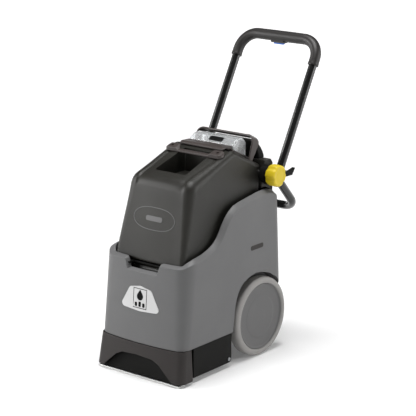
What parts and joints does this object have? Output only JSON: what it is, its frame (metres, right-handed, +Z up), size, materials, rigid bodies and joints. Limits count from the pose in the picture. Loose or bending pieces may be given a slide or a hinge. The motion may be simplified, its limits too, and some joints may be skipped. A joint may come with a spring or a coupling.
{
  "type": "carpet cleaner machine",
  "caption": "Upright wheeled carpet cleaner: grey base with brush and suction shoe, lift-off black recovery tank with clear lid, and a folding loop handle.",
  "frame": {"origin": "on the floor, under the middle of the machine's bounding box", "axes": "+Z up, +Y towards the rear where the operator stands, +X to the machine's right side, which is the viewer's right when facing its front"},
  "size_m": [0.37, 0.7014, 0.9185],
  "materials": {
    "base_grey": "moulded satin",
    "skirt_grey": "moulded satin",
    "tank_black": "fine leather grain",
    "black_plastic": "moulded",
    "dark_grey_plastic": "moulded satin",
    "tube_black": "gloss powder coat",
    "grip_rubber": "soft moulded",
    "knob_yellow": "moulded satin",
    "tyre_grey": "solid rubber",
    "disc_grey": "moulded satin",
    "clear_plastic": "clear moulding",
    "steel": "brushed",
    "motor_can": "satin",
    "badge_pale": "satin film",
    "trigger_blue": "moulded",
    "nylon": "bristle",
    "belt_rubber": "toothed belt",
    "seal_rubber": "soft",
    "brass": "turned",
    "white_plastic": "moulded"
  },
  "bodies": {
    "machine": {"base_shell": "base_grey", "tank_tray": "black_plastic", "filler_trough": "black_plastic", "solution_tank": "tank_black", "chassis_plate": "black_plastic", "axle": "steel", "axle_collars": "steel", "brush_deck": "black_plastic", "side_panel_right": "black_plastic", "side_panel_left": "black_plastic", "deck_screws": "steel", "front_skirt": "skirt_grey", "front_badge": "badge_pale", "vacuum_shoe": "black_plastic", "shoe_lip": "steel", "brush_bearings": "brass", "brush_motor": "motor_can", "drive_belt": "belt_rubber", "spray_bar": "black_plastic", "spray_nozzles": "brass", "vacuum_motor": "motor_can", "vacuum_duct": "black_plastic", "pump": "motor_can", "solution_hose": "seal_rubber", "rear_column": "tank_black", "rear_hood": "black_plastic", "switch_panel": "black_plastic", "cord_gland": "black_plastic", "pivot_bolts": "steel"},
    "wheel_right": {"wheel_disc_right": "disc_grey", "tyre_right": "tyre_grey"},
    "wheel_left": {"wheel_disc_left": "disc_grey", "tyre_left": "tyre_grey"},
    "brush_roller": {"brush_shaft": "steel", "brush_core": "black_plastic", "brush_bristles": "nylon", "brush_pulley": "white_plastic"},
    "motor_pulley": {"motor_pulley": "steel"},
    "handle": {"handle_tube": "tube_black", "handle_grip": "grip_rubber", "handle_bracket_right": "black_plastic", "handle_bracket_left": "black_plastic", "trigger_housing": "grip_rubber"},
    "trigger": {"spray_trigger": "trigger_blue"},
    "knob_right": {"knob_right": "knob_yellow"},
    "knob_left": {"knob_left": "knob_yellow"},
    "cord_hook": {"cord_hook": "black_plastic"},
    "vacuum_switch": {"vacuum_switch": "black_plastic"},
    "brush_switch": {"brush_switch": "black_plastic"},
    "tank": {"recovery_tank": "tank_black", "carry_bar": "dark_grey_plastic", "bar_screws": "steel", "standpipe": "white_plastic", "float_cage": "white_plastic", "bail_pins": "steel", "lid_gasket": "seal_rubber"},
    "float": {"float_ball": "white_plastic"},
    "lid": {"lid_frame": "dark_grey_plastic", "lid_dome": "clear_plastic"},
    "bail": {"tank_bail": "dark_grey_plastic"}
  },
  "joints": [
    {"name": "wheel_right_spin", "type": "hinge", "parent": "machine", "child": "wheel_right", "pos_m": [0.1445, 0.029, 0.1195], "axis": [1, 0, 0], "continuous": true},
    {"name": "wheel_left_spin", "type": "hinge", "parent": "machine", "child": "wheel_left", "pos_m": [-0.1445, 0.029, 0.1195], "axis": [1, 0, 0], "continuous": true},
    {"name": "brush_spin", "type": "hinge", "parent": "machine", "child": "brush_roller", "pos_m": [0, -0.225, 0.049], "axis": [1, 0, 0], "continuous": true},
    {"name": "motor_pulley_spin", "type": "hinge", "parent": "machine", "child": "motor_pulley", "pos_m": [0.137, -0.15, 0.156], "axis": [1, 0, 0], "continuous": true},
    {"name": "handle_fold", "type": "hinge", "parent": "machine", "child": "handle", "pos_m": [0, 0.082, 0.541], "axis": [-1, 0, 0], "range_deg": [-108, 16]},
    {"name": "trigger_squeeze", "type": "slide", "parent": "handle", "child": "trigger", "axis": [0, 0, 1], "range_m": [0, 0.005], "stiffness_N_per_m": 800, "springref_m": -0.002},
    {"name": "knob_right_turn", "type": "hinge", "parent": "machine", "child": "knob_right", "pos_m": [0.171, 0.082, 0.541], "axis": [1, 0, 0], "continuous": true},
    {"name": "knob_left_turn", "type": "hinge", "parent": "machine", "child": "knob_left", "pos_m": [-0.171, 0.082, 0.541], "axis": [1, 0, 0], "continuous": true},
    {"name": "cord_hook_swivel", "type": "hinge", "parent": "handle", "child": "cord_hook", "pos_m": [0.1615, 0.139, 0.534], "axis": [-1, 0, 0], "range_deg": [0, 100]},
    {"name": "vacuum_switch_rock", "type": "hinge", "parent": "machine", "child": "vacuum_switch", "pos_m": [-0.028, 0.1255, 0.54], "axis": [1, 0, 0], "range_deg": [-6, 6]},
    {"name": "brush_switch_rock", "type": "hinge", "parent": "machine", "child": "brush_switch", "pos_m": [0.028, 0.1255, 0.54], "axis": [1, 0, 0], "range_deg": [-6, 6]},
    {"name": "tank_lift", "type": "slide", "parent": "machine", "child": "tank", "axis": [0, 0, 1], "range_m": [0, 0.3]},
    {"name": "float_rise", "type": "slide", "parent": "tank", "child": "float", "axis": [0, 0, 1], "range_m": [0, 0.007]},
    {"name": "lid_lift", "type": "slide", "parent": "tank", "child": "lid", "axis": [0, 0, 1], "range_m": [0, 0.05]},
    {"name": "bail_swing", "type": "hinge", "parent": "tank", "child": "bail", "pos_m": [0, 0.031, 0.562], "axis": [-1, 0, 0], "range_deg": [-55, 0]}
  ],
  "couplings": [
    {"joint": "motor_pulley_spin", "follows": "brush_spin", "ratio": 2}
  ]
}
